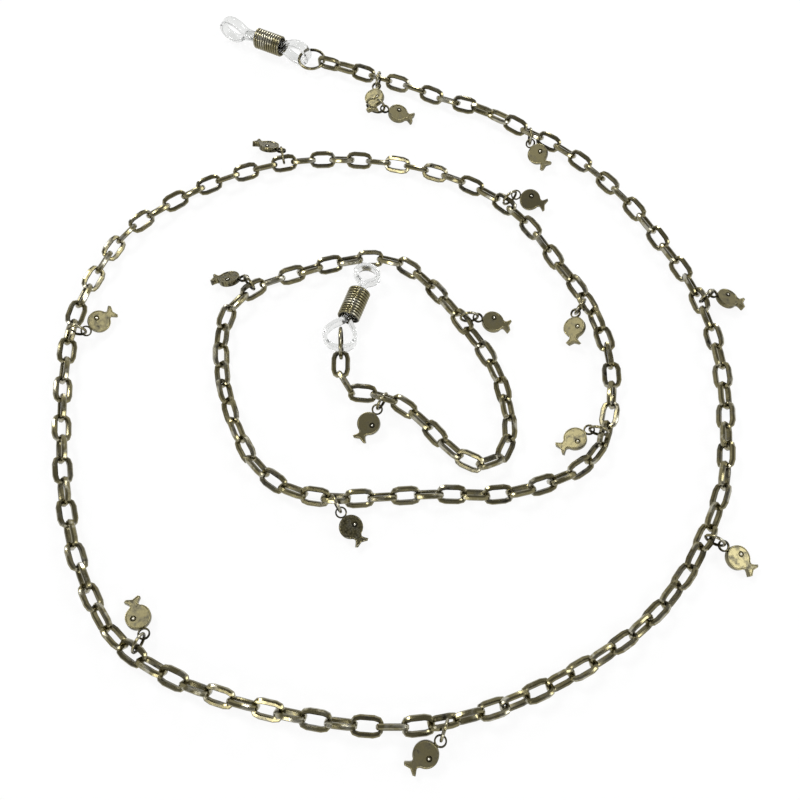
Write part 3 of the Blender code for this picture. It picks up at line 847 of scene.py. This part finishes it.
def patina_and_light_group():
    """Masks for old metal: tarnished metal with painted shade in the recesses, pale wear with
    painted highlights, mottling, hairline scratches and relief.
    """
    name = "old_metal_patina_and_painted_light"
    if name in bpy.data.node_groups:
        return bpy.data.node_groups[name]
    tree = bpy.data.node_groups.new(name, "ShaderNodeTree")
    face = tree.interface
    face.new_socket("Vector", in_out="INPUT", socket_type="NodeSocketVector")
    defaults = {"Wear And Shading": 0.5, "Mottle Scale": MOTTLE_SCALE, "Scratch Scale": SCRATCH_SCALE}
    for label, default in defaults.items():
        socket = face.new_socket(label, in_out="INPUT", socket_type="NodeSocketFloat")
        socket.default_value = default
    for label in ("Tarnish And Shade", "Rub And Highlight", "Scratch", "Height"):
        face.new_socket(label, in_out="OUTPUT", socket_type="NodeSocketFloat")
    start = add_node(tree, "NodeGroupInput").outputs
    detail = {"Detail": 5.0, "Roughness": 0.62}
    mottle = add_noise(tree, "mottle", start["Vector"], start["Mottle Scale"], **detail)
    stretch = add_node(tree, "ShaderNodeMapping", "along the wire")
    turn = {"Rotation": (0.3, 0.5, 0.7), "Scale": (1.0, 0.16, 1.0)}
    feed(tree, stretch, {"Vector": start["Vector"], **turn})
    along = stretch.outputs["Vector"]
    scratch = add_noise(tree, "hairlines", along, start["Scratch Scale"], Detail=2.0)
    # A low wear-and-shading value gives tarnished metal with painted shade, a high one pale wear
    # with a painted highlight
    recess = add_math(tree, "recess", "MULTIPLY_ADD", start["Wear And Shading"], -0.62, 0.86)
    less = add_math(tree, "less than the mottle", "SUBTRACT", recess, 1.1)
    shadowed = add_math(tree, "mottled recess", "MULTIPLY_ADD", mottle, 1.6, less)
    patches = add_range(tree, "rubbed patches", mottle, from_min=0.5, from_max=0.72)
    masks = {
        "Tarnish And Shade": add_range(tree, "tarnish mask", shadowed, from_min=0.05, from_max=0.55),
        "Rub And Highlight": add_math(tree, "rubbed_and_highlit", "MULTIPLY", patches, start["Wear And Shading"]),
        "Scratch": add_range(tree, "hairline mask", scratch, from_min=0.56, from_max=0.66),
        "Height": add_math(tree, "relief", "MULTIPLY_ADD", scratch, 0.35, mottle),
    }
    feed(tree, add_node(tree, "NodeGroupOutput"), masks)
    return tree


def new_finish(name):
    """A new material, its tree and its main shader."""
    made = bpy.data.materials.new(name)
    made.use_nodes = True
    return made, made.node_tree, made.node_tree.nodes["Principled BSDF"]


def metal_finish(name, finishes, scaled=False):
    """Antique metal: brown-black tarnished metal and painted shade in the recesses, olive brass on
    the faces, pale wear with a painted highlight.
    """
    roughness, bump, scale, rub = METALS[name]
    made, tree, shader = new_finish(name)
    place = add_node(tree, "ShaderNodeTexCoord").outputs["Object"]
    wear_and_shading = add_node(tree, "ShaderNodeAttribute", "wear_and_shading", attribute_name="wear_and_shading").outputs["Fac"]
    group = add_node(tree, "ShaderNodeGroup", node_tree=patina_and_light_group())
    scales = {"Mottle Scale": MOTTLE_SCALE * scale, "Scratch Scale": SCRATCH_SCALE * scale}
    feed(tree, group, {"Vector": place, "Wear And Shading": wear_and_shading, **scales})
    patina_and_light = group.outputs
    # Pale colour: wear with a painted highlight; brown-black: tarnished metal with painted shade
    rubbed_and_highlit = add_math(tree, "how far rubbed", "MULTIPLY", patina_and_light["Rub And Highlight"], rub, clamp=True)
    brass = mix_colour(tree, "rubbed brass", rubbed_and_highlit, finishes.brass, finishes.rubbed_and_highlit)
    brass = mix_colour(tree, "tarnished brass with painted shade", patina_and_light["Tarnish And Shade"], brass, finishes.tarnish_and_shade)
    ends = {"to_min": roughness, "to_max": roughness + TARNISH_ROUGHNESS}
    gloss = add_range(tree, "gloss", patina_and_light["Tarnish And Shade"], **ends)
    relief = patina_and_light["Height"]
    if scaled:
        chart = add_node(tree, "ShaderNodeUVMap", uv_map="along").outputs["UV"]
        cells = add_node(tree, "ShaderNodeTexVoronoi", "scales", voronoi_dimensions="2D")
        feed(tree, cells, {"Vector": chart, "Scale": 2.6, "Randomness": 0.75})
        away = cells.outputs["Distance"]
        relief = add_math(tree, "scales and wear", "MULTIPLY_ADD", away, -2.5, relief)
        # The grooves between the scales take the same brown-black colour
        groove = add_range(tree, "grooves", away, from_min=0.3, from_max=1.0)
        brass = mix_colour(tree, "dark grooves", groove, brass, finishes.tarnish_and_shade)
    normal = add_relief(tree, relief, bump, RELIEF_DEPTH)
    look = {"Metallic": 1.0, "Base Color": brass, "Roughness": gloss, "Normal": normal}
    feed(tree, shader, look)
    return made


def bead_highlight_finish(finishes):
    """The polished ball of the fish's eye, its near-white colour a painted highlight, with a few
    darker specks.
    """
    made, tree, shader = new_finish("polished_bead_painted_highlight")
    place = add_node(tree, "ShaderNodeTexCoord").outputs["Object"]
    specks = add_noise(tree, "specks", place, 4000.0)
    colour = mix_colour(tree, "bead_highlight", specks, finishes.bead_highlight, finishes.rubbed_and_highlit)
    feed(tree, shader, {"Metallic": 1.0, "Roughness": 0.22, "Base Color": colour})
    return made


def silicone_finish(finishes):
    """Clear silicone, faintly cloudy, with a soft uneven skin."""
    made, tree, shader = new_finish("clear_silicone")
    place = add_node(tree, "ShaderNodeTexCoord").outputs["Object"]
    cloud = add_noise(tree, "cloudiness", place, 420.0, Detail=3.0)
    look = {
        "Transmission Weight": 1.0,
        "IOR": 1.41,
        "Base Color": mix_colour(tree, "tint", cloud, finishes.silicone, (1.0, 1.0, 1.0)),
        "Roughness": add_range(tree, "gloss", cloud, to_min=0.04, to_max=0.16),
        "Normal": add_relief(tree, cloud, 0.25, 0.05 * MM),
    }
    feed(tree, shader, look)
    return made


def ground_finish(stage):
    """Pale ground that keeps a faint shadow and shows as plain white to eye, gloss and glass."""
    made, tree, shader = new_finish("pale_ground")
    feed(tree, shader, {"Base Color": (*stage.ground, 1.0), "Roughness": 0.9})
    glow = add_node(tree, "ShaderNodeEmission")
    feed(tree, glow, {"Color": (1.0, 1.0, 1.0, 1.0)})
    ray = add_node(tree, "ShaderNodeLightPath").outputs
    through = ray["Is Transmission Ray"]
    seen = add_math(tree, "seen", "ADD", ray["Is Camera Ray"], through, clamp=True)
    seen = add_math(tree, "seen or mirrored", "ADD", seen, ray["Is Glossy Ray"], clamp=True)
    share = add_math(tree, "white share", "MULTIPLY", seen, stage.whiteness)
    both = add_node(tree, "ShaderNodeMixShader")
    feed(tree, both, {0: share, 1: shader.outputs[0], 2: glow.outputs[0]})
    feed(tree, tree.nodes["Material Output"], {"Surface": both.outputs[0]})
    return made


def length_property(name, description, default):
    return bpy.props.FloatProperty(
        name=name, description=description, default=default, min=0.0, unit="LENGTH", precision=6
    )


def colour_property(name, description, default):
    return bpy.props.FloatVectorProperty(
        name=name, description=description, default=default, size=3, min=0.0, max=1.0,
        subtype="COLOR",
    )


class ChainSizes(bpy.types.PropertyGroup):
    """Sizes of one link."""

    link_length: length_property("Link length", "Outer length of a link", LINK_LENGTH)
    link_width: length_property("Link width", "Outer width of a link", LINK_WIDTH)
    wire_flat: length_property("Wire width", "Wire thickness in the link's plane", WIRE_FLAT)
    wire_deep: length_property("Wire depth", "Wire thickness across the link's plane", 0.92 * MM)
    link_bar: length_property("Side bar", "Width of the link's two long sides", 0.84 * MM)
    link_edge: length_property("Edge facet", "Facet cut along each outer edge", 0.24 * MM)
    link_corners: bpy.props.IntProperty(
        name="Corners", description="Corners round one link", default=12, min=6
    )
    link_squareness: bpy.props.FloatProperty(
        name="Squareness", description="1 is an oval link, less is a squarer one", default=0.62
    )


class CharmSizes(bpy.types.PropertyGroup):
    """Sizes of the rings and fish charms."""

    jump_wire: length_property("Ring wire", "Wire of a jump ring", JUMP_WIRE)
    end_wire: length_property("End ring wire", "Wire of the two end rings", END_WIRE)
    fish_thickness: length_property("Fish thickness", "Thickness of a fish", FISH_THICKNESS)
    fish_edge: length_property("Fish rim", "Width of the rim round a fish", 0.16 * MM)
    fish_sink: length_property("Fish face depth", "How far the face lies below the rim", 0.1 * MM)


class EndSizes(bpy.types.PropertyGroup):
    """Sizes of the coil springs and silicone loops."""

    coil_wire: length_property("Coil wire", "Wire of a coil spring", 0.47 * MM)
    coil_turns: bpy.props.IntProperty(
        name="Coil turns", description="Turns of one coil spring", default=11, min=2
    )
    band_edge: length_property("Band edge", "Rounding of the silicone band's edges", 0.22 * MM)


class FinishColours(bpy.types.PropertyGroup):
    """Colours of the metal and the silicone."""

    brass: colour_property("Brass", "Olive brass of the plain faces", (0.2, 0.177, 0.095))
    # Pale wear, also the painted highlight on edges and glints
    rubbed_and_highlit: colour_property("Rubbed and highlit brass", "Paler metal where it is rubbed", (0.72, 0.7, 0.6))
    # Brown-black of tarnished metal, also the painted shade in recesses, on inner sides and between
    # coil turns
    tarnish_and_shade: colour_property("Tarnish And Shade", "Brown-black in the recesses", (0.014, 0.012, 0.007))
    # Near-white of the eye ball, a painted highlight
    bead_highlight: colour_property("Bead highlight", "Polished bead of a fish's eye", (0.95, 0.93, 0.86))
    silicone: colour_property("Silicone", "Tint of the clear silicone", (0.62, 0.63, 0.61))


class StageLook(bpy.types.PropertyGroup):
    """Ground, light and camera."""

    ground: colour_property("Ground", "Colour of the pale ground", (0.95, 0.95, 0.95))
    whiteness: bpy.props.FloatProperty(
        name="Whiteness", description="Share of the ground that is plain white", default=0.9,
        min=0.0, max=1.0, subtype="FACTOR",
    )
    room: bpy.props.FloatProperty(
        name="Room light", description="Strength of the plain room light", default=0.3, min=0.0
    )
    lens: bpy.props.FloatProperty(
        name="Lens", description="Focal length of the camera", default=38.25, unit="CAMERA"
    )
    camera_height: length_property("Camera height", "Camera's height over the origin", 138.2 * MM)
    camera_pitch: bpy.props.FloatProperty(
        name="Camera tilt", description="Tilt of the camera from straight down",
        default=math.radians(24.0), subtype="ANGLE",
    )


class STRAP_OT_chain_links(bpy.types.Operator):
    """Models one link and lays it along every run of the chain"""

    bl_idname = "strap.chain_links"
    bl_label = "Chain links"

    def execute(self, context):
        links, _, lasts = lay_links()
        model = model_link(context.scene.strap_chain)
        finish = metal_finish("chain_metal", context.scene.strap_finish)
        firsts = [1] + [last + 1 for last in lasts[:-1]]
        for number, (first, last) in enumerate(zip(firsts, lasts), 1):
            copies = []
            for link in links[first - 1 : last]:
                turn = Matrix((link.along, link.width, link.normal)).transposed()
                copies.append(placed_copy(model, f"link_{link.number:03d}", turn, link.middle))
            choose(*copies)
            bpy.ops.object.join()
            node = f"chain_run_{number:02d}"
            seat(bpy.context.object, f"chain_links_{number:02d}", node, "chain_metal", finish)
        discard(model)
        return {"FINISHED"}


class STRAP_OT_jump_rings(bpy.types.Operator):
    """Models the split jump rings that hold the charms"""

    bl_idname = "strap.jump_rings"
    bl_label = "Jump rings"

    def execute(self, context):
        wire = context.scene.strap_charm.jump_wire
        finish = metal_finish("ring_metal", context.scene.strap_finish)
        small = model_ring(JUMP_RADIUS, wire, JUMP_SPLIT)
        large = model_ring(TRAILING_RADIUS, wire, JUMP_SPLIT)
        for number, (_, _, centre, ring, *_) in enumerate(place_charms(lay_links()[0]), 1):
            model = large if number > len(CHARMS) else small
            piece = placed_copy(model, "ring", ring, centre)
            seat(piece, f"split_ring_{number:02d}", f"jump_ring_{number:02d}", "ring_metal", finish)
        discard(small)
        discard(large)
        return {"FINISHED"}


class STRAP_OT_fish_charms(bpy.types.Operator):
    """Models the fish charms, some plain and some with scales"""

    bl_idname = "strap.fish_charms"
    bl_label = "Fish charms"

    def execute(self, context):
        colours = context.scene.strap_finish
        plain = metal_finish("charm_metal", colours)
        scaled = metal_finish("charm_scaled_metal", colours, scaled=True)
        bead_highlight = bead_highlight_finish(colours)
        model = model_fish(context.scene.strap_charm)
        for number, (*_, nose, pose) in enumerate(place_charms(lay_links()[0]), 1):
            finish = scaled if number in SCALED_FISH else plain
            piece = placed_copy(model, "fish", pose, nose)
            name = f"fish_charm_{number:02d}"
            seat(piece, name, f"fish_{number:02d}", "charm_metal", finish, bead_highlight)
        discard(model)
        return {"FINISHED"}


class STRAP_OT_end_rings(bpy.types.Operator):
    """Models the two end rings"""

    bl_idname = "strap.end_rings"
    bl_label = "End rings"

    def execute(self, context):
        links, joints, _ = lay_links()
        finish = metal_finish("end_ring_metal", context.scene.strap_finish)
        model = model_ring(END_RADIUS, context.scene.strap_charm.end_wire, END_SPLIT)
        for name in ENDS:
            _, centre, ring, _, _ = place_end(name, links, joints)
            piece = placed_copy(model, "ring", ring, centre)
            seat(piece, f"eye_ring_{name}", f"end_ring_{name}", "ring_metal", finish)
        discard(model)
        return {"FINISHED"}


class STRAP_OT_temple_loops(bpy.types.Operator):
    """Models the clear silicone loops"""

    bl_idname = "strap.temple_loops"
    bl_label = "Silicone loops"

    def execute(self, context):
        links, joints, _ = lay_links()
        finish = silicone_finish(context.scene.strap_finish)
        for name, (_, *shape) in ENDS.items():
            *_, place, turn = place_end(name, links, joints)
            model = model_band(name, shape, context.scene.strap_ends)
            piece = placed_copy(model, "band", turn, place)
            discard(model)
            seat(piece, f"silicone_band_{name}", f"temple_loop_{name}", "clear_silicone", finish)
        return {"FINISHED"}


class STRAP_OT_coil_springs(bpy.types.Operator):
    """Models the close-wound coil springs"""

    bl_idname = "strap.coil_springs"
    bl_label = "Coil springs"

    def execute(self, context):
        links, joints, _ = lay_links()
        finish = metal_finish("spring_metal", context.scene.strap_finish)
        model = model_coil(context.scene.strap_ends)
        upright = Matrix.Rotation(math.radians(90.0), 3, "Y")
        for name, (course, _, start, *_) in ENDS.items():
            *_, place, turn = place_end(name, links, joints)
            spot = place + course.normalized() * (start * MM)
            piece = placed_copy(model, "coil", turn @ upright, spot)
            seat(piece, f"wound_coil_{name}", f"coil_spring_{name}", "spring_metal", finish)
        discard(model)
        return {"FINISHED"}


class STRAP_OT_stage(bpy.types.Operator):
    """Adds the pale ground, the soft lamps and the camera"""

    bl_idname = "strap.stage"
    bl_label = "Stage"

    def execute(self, context):
        stage = context.scene.strap_stage
        clear_selection()
        bpy.ops.mesh.primitive_circle_add(vertices=96, radius=GROUND_RADIUS, fill_type="NGON")
        ground = bpy.context.object
        ground.name = "pale_ground"
        bpy.ops.object.mode_set(mode="EDIT")
        for grow, rise in GROUND_RISES:
            select_edges(lambda a, b: on_rim(a, ground) and on_rim(b, ground))
            bpy.ops.mesh.extrude_edges_move(TRANSFORM_OT_translate={"value": (0.0, 0.0, rise)})
            bpy.ops.transform.resize(value=(grow, grow, 1.0))
        bpy.ops.object.mode_set(mode="OBJECT")
        ground.location.z = GROUND_DROP
        bpy.ops.object.transform_apply(location=True, rotation=True, scale=True)
        smooth(ground, 60.0)
        ground.data.materials.append(ground_finish(stage))
        for name, place, size, power, colour in LAMPS:
            clear_selection()
            bpy.ops.object.light_add(type="AREA", location=place)
            lamp = bpy.context.object
            lamp.name = name
            lamp.data.size = size
            lamp.data.energy = power
            lamp.data.color = colour
            lamp.rotation_euler = (-Vector(place)).to_track_quat("-Z", "Y").to_euler()
        world = bpy.data.worlds.new("studio_room")
        world.use_nodes = True
        back = world.node_tree.nodes["Background"]
        back.inputs["Color"].default_value = (1.0, 1.0, 1.0, 1.0)
        back.inputs["Strength"].default_value = stage.room
        context.scene.world = world
        clear_selection()
        bpy.ops.object.camera_add(
            location=(CAMERA_X, CAMERA_Y, stage.camera_height),
            rotation=(stage.camera_pitch, 0.0, 0.0),
        )
        camera = bpy.context.object
        camera.name = "strap_camera"
        camera.data.lens = stage.lens
        camera.data.sensor_width = 36.0
        camera.data.clip_start = 0.01
        context.scene.camera = camera
        context.scene.view_settings.view_transform = "Standard"
        return {"FINISHED"}


def on_rim(point, ground):
    """Whether a point lies on the ground's outermost, highest rim."""
    farthest = max(vertex.co.xy.length for vertex in ground.data.vertices)
    return point.xy.length > farthest - MM


class STRAP_PT_panel(bpy.types.Panel):
    """Lists the strap's pieces and their sizes"""

    bl_idname = "STRAP_PT_panel"
    bl_label = "Chain strap"
    bl_space_type = "VIEW_3D"
    bl_region_type = "UI"
    bl_category = "Chain Strap"

    def draw(self, context):
        layout = self.layout
        for key in GROUPS:
            box = layout.box()
            group = getattr(context.scene, key)
            for prop in group.__annotations__:
                box.prop(group, prop)
        for piece in PIECES:
            layout.operator(piece.bl_idname)


GROUPS = {
    "strap_chain": ChainSizes,
    "strap_charm": CharmSizes,
    "strap_ends": EndSizes,
    "strap_finish": FinishColours,
    "strap_stage": StageLook,
}
PIECES = (
    STRAP_OT_chain_links,
    STRAP_OT_jump_rings,
    STRAP_OT_fish_charms,
    STRAP_OT_end_rings,
    STRAP_OT_temple_loops,
    STRAP_OT_coil_springs,
    STRAP_OT_stage,
)


def register():
    for kind in (*GROUPS.values(), *PIECES, STRAP_PT_panel):
        bpy.utils.register_class(kind)
    for key, kind in GROUPS.items():
        setattr(bpy.types.Scene, key, bpy.props.PointerProperty(type=kind))


def unregister():
    for key in GROUPS:
        delattr(bpy.types.Scene, key)
    for kind in reversed((*GROUPS.values(), *PIECES, STRAP_PT_panel)):
        bpy.utils.unregister_class(kind)


def main():
    register()
    bpy.ops.strap.stage()
    bpy.ops.strap.chain_links()
    bpy.ops.strap.jump_rings()
    bpy.ops.strap.fish_charms()
    bpy.ops.strap.end_rings()
    bpy.ops.strap.temple_loops()
    bpy.ops.strap.coil_springs()


if __name__ == "__main__":
    main()
